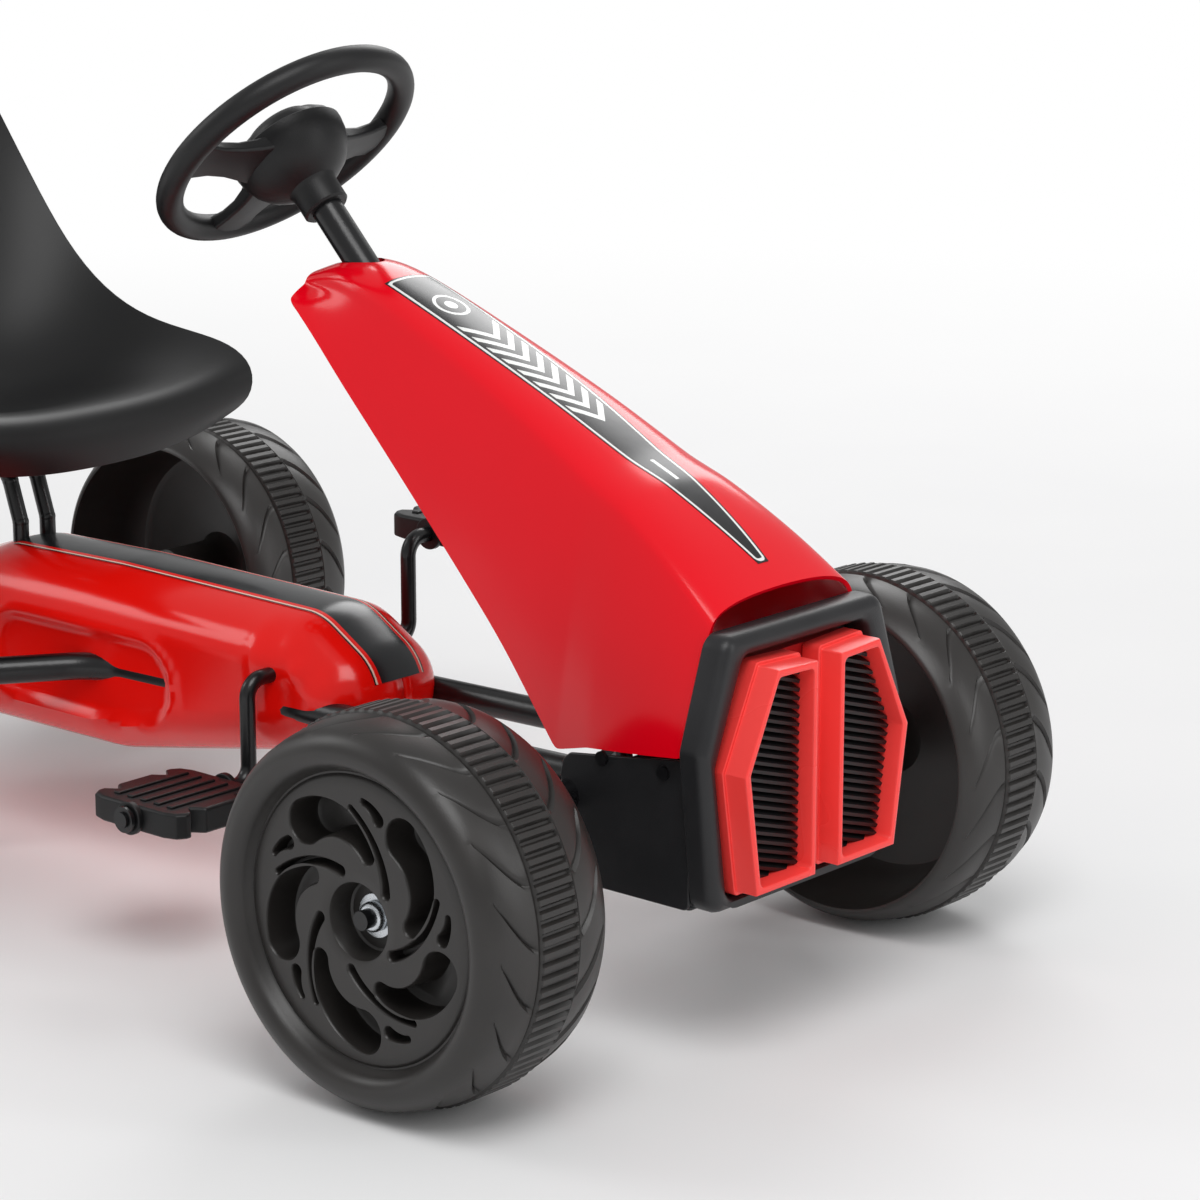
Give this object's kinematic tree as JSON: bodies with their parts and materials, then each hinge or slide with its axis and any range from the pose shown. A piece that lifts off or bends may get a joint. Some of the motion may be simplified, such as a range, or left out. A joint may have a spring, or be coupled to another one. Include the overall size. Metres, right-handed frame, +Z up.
{
  "type": "pedal go kart",
  "caption": "Child's four-wheeled pedal go kart with a steering wheel, a moulded seat, a fairing over the steering column and a cased chain drive to the rear axle.",
  "frame": {"origin": "on the floor, under the middle of the kart's box", "axes": "+X forward, +Y to the driver's left, +Z up"},
  "size_m": [1.002, 0.688, 0.6068],
  "materials": {
    "powder_coated_steel": "semi-gloss black powder coat",
    "axle_steel": "drawn bar",
    "zinc_plated_steel": "bright zinc plate",
    "chain_steel": "oiled steel",
    "nylon": "natural nylon",
    "red_abs": "glossy moulded red",
    "grille_red_abs": "glossy moulded coral red",
    "black_pp": "satin moulded black",
    "seat_hdpe": "satin blow-moulded black",
    "wheel_hdpe": "satin blow-moulded warm black",
    "pedal_pp": "moulded black",
    "steering_wheel_pp": "satin moulded black",
    "decal_film": "printed vinyl film"
  },
  "bodies": {
    "frame": {"frame_tube_left": "powder_coated_steel", "frame_tube_right": "powder_coated_steel", "front_axle_beam": "powder_coated_steel", "rear_cross_tube": "powder_coated_steel", "rear_axle_bracket_left": "powder_coated_steel", "rear_axle_bracket_right": "powder_coated_steel", "rear_axle_bushes": "nylon", "crank_hangers": "powder_coated_steel", "crank_bushes": "nylon", "column_yoke": "powder_coated_steel", "column_bushes": "nylon", "bumper_bracket": "powder_coated_steel", "bumper": "black_pp", "grille_frame_left": "grille_red_abs", "grille_frame_right": "grille_red_abs", "grille_insert_left": "black_pp", "grille_insert_right": "black_pp", "grille_backing": "grille_red_abs", "fairing": "red_abs", "fairing_decal": "decal_film", "fairing_screws": "zinc_plated_steel", "chain_case_left": "red_abs", "chain_case_right": "red_abs", "case_stripe": "decal_film", "case_screws": "zinc_plated_steel", "chain": "chain_steel", "seat_bracket": "powder_coated_steel", "seat_shell": "seat_hdpe", "seat_bolts": "zinc_plated_steel"},
    "steering": {"steering_wheel": "steering_wheel_pp", "steering_wheel_pad": "steering_wheel_pp", "steering_column": "powder_coated_steel", "column_bolt": "zinc_plated_steel"},
    "knuckle_left": {"steering_knuckle_left": "powder_coated_steel", "knuckle_nuts_left": "zinc_plated_steel", "front_axle_nut_left": "zinc_plated_steel"},
    "knuckle_right": {"steering_knuckle_right": "powder_coated_steel", "knuckle_nuts_right": "zinc_plated_steel", "front_axle_nut_right": "zinc_plated_steel"},
    "track_rod": {"track_rod": "powder_coated_steel"},
    "front_wheel_left": {"front_wheel_left": "wheel_hdpe", "front_wheel_bushes_left": "nylon"},
    "front_wheel_right": {"front_wheel_right": "wheel_hdpe", "front_wheel_bushes_right": "nylon"},
    "rear_axle": {"rear_axle": "axle_steel", "rear_sprocket": "chain_steel", "rear_axle_nuts": "zinc_plated_steel", "drive_sleeve": "axle_steel", "rear_wheel_left": "wheel_hdpe"},
    "rear_wheel_right": {"rear_wheel_right": "wheel_hdpe", "rear_wheel_bushes": "nylon"},
    "crank": {"crank": "powder_coated_steel", "front_sprocket": "chain_steel", "pedal_nuts": "zinc_plated_steel"},
    "pedal_left": {"pedal_left": "pedal_pp"},
    "pedal_right": {"pedal_right": "pedal_pp"}
  },
  "joints": [
    {"name": "steering_turn", "type": "hinge", "parent": "frame", "child": "steering", "pos_m": [0.028, 0, 0.535], "axis": [-0.6884, 0, 0.7254], "range_deg": [-25, 25]},
    {"name": "left_kingpin_turn", "type": "hinge", "parent": "frame", "child": "knuckle_left", "pos_m": [0.363, 0.165, 0.16], "axis": [0, 0, 1], "range_deg": [-25.5, 25.5]},
    {"name": "right_kingpin_turn", "type": "hinge", "parent": "frame", "child": "knuckle_right", "pos_m": [0.363, -0.165, 0.16], "axis": [0, 0, 1], "range_deg": [-25.5, 25.5]},
    {"name": "track_rod_swing", "type": "hinge", "parent": "knuckle_left", "child": "track_rod", "pos_m": [0.306, 0.165, 0.1385], "axis": [0, 0, 1], "range_deg": [-25.5, 25.5]},
    {"name": "front_wheel_left_spin", "type": "hinge", "parent": "knuckle_left", "child": "front_wheel_left", "pos_m": [0.363, 0.235, 0.124], "axis": [0, 1, 0], "continuous": true},
    {"name": "front_wheel_right_spin", "type": "hinge", "parent": "knuckle_right", "child": "front_wheel_right", "pos_m": [0.363, -0.235, 0.124], "axis": [0, 1, 0], "continuous": true},
    {"name": "rear_axle_spin", "type": "hinge", "parent": "frame", "child": "rear_axle", "pos_m": [-0.377, 0, 0.124], "axis": [0, 1, 0], "continuous": true},
    {"name": "rear_wheel_right_spin", "type": "hinge", "parent": "rear_axle", "child": "rear_wheel_right", "pos_m": [-0.377, -0.29, 0.124], "axis": [0, 1, 0], "continuous": true},
    {"name": "crank_spin", "type": "hinge", "parent": "frame", "child": "crank", "pos_m": [0.061, 0, 0.178], "axis": [0, 1, 0], "continuous": true},
    {"name": "pedal_left_spin", "type": "hinge", "parent": "crank", "child": "pedal_left", "pos_m": [0.061, 0.146, 0.25], "axis": [0, 1, 0], "continuous": true},
    {"name": "pedal_right_spin", "type": "hinge", "parent": "crank", "child": "pedal_right", "pos_m": [0.061, -0.146, 0.106], "axis": [0, 1, 0], "continuous": true}
  ],
  "couplings": [
    {"joint": "left_kingpin_turn", "follows": "steering_turn", "ratio": 1},
    {"joint": "right_kingpin_turn", "follows": "steering_turn", "ratio": 1},
    {"joint": "track_rod_swing", "follows": "steering_turn", "ratio": -1},
    {"joint": "crank_spin", "follows": "rear_axle_spin", "ratio": 0.8125}
  ]
}
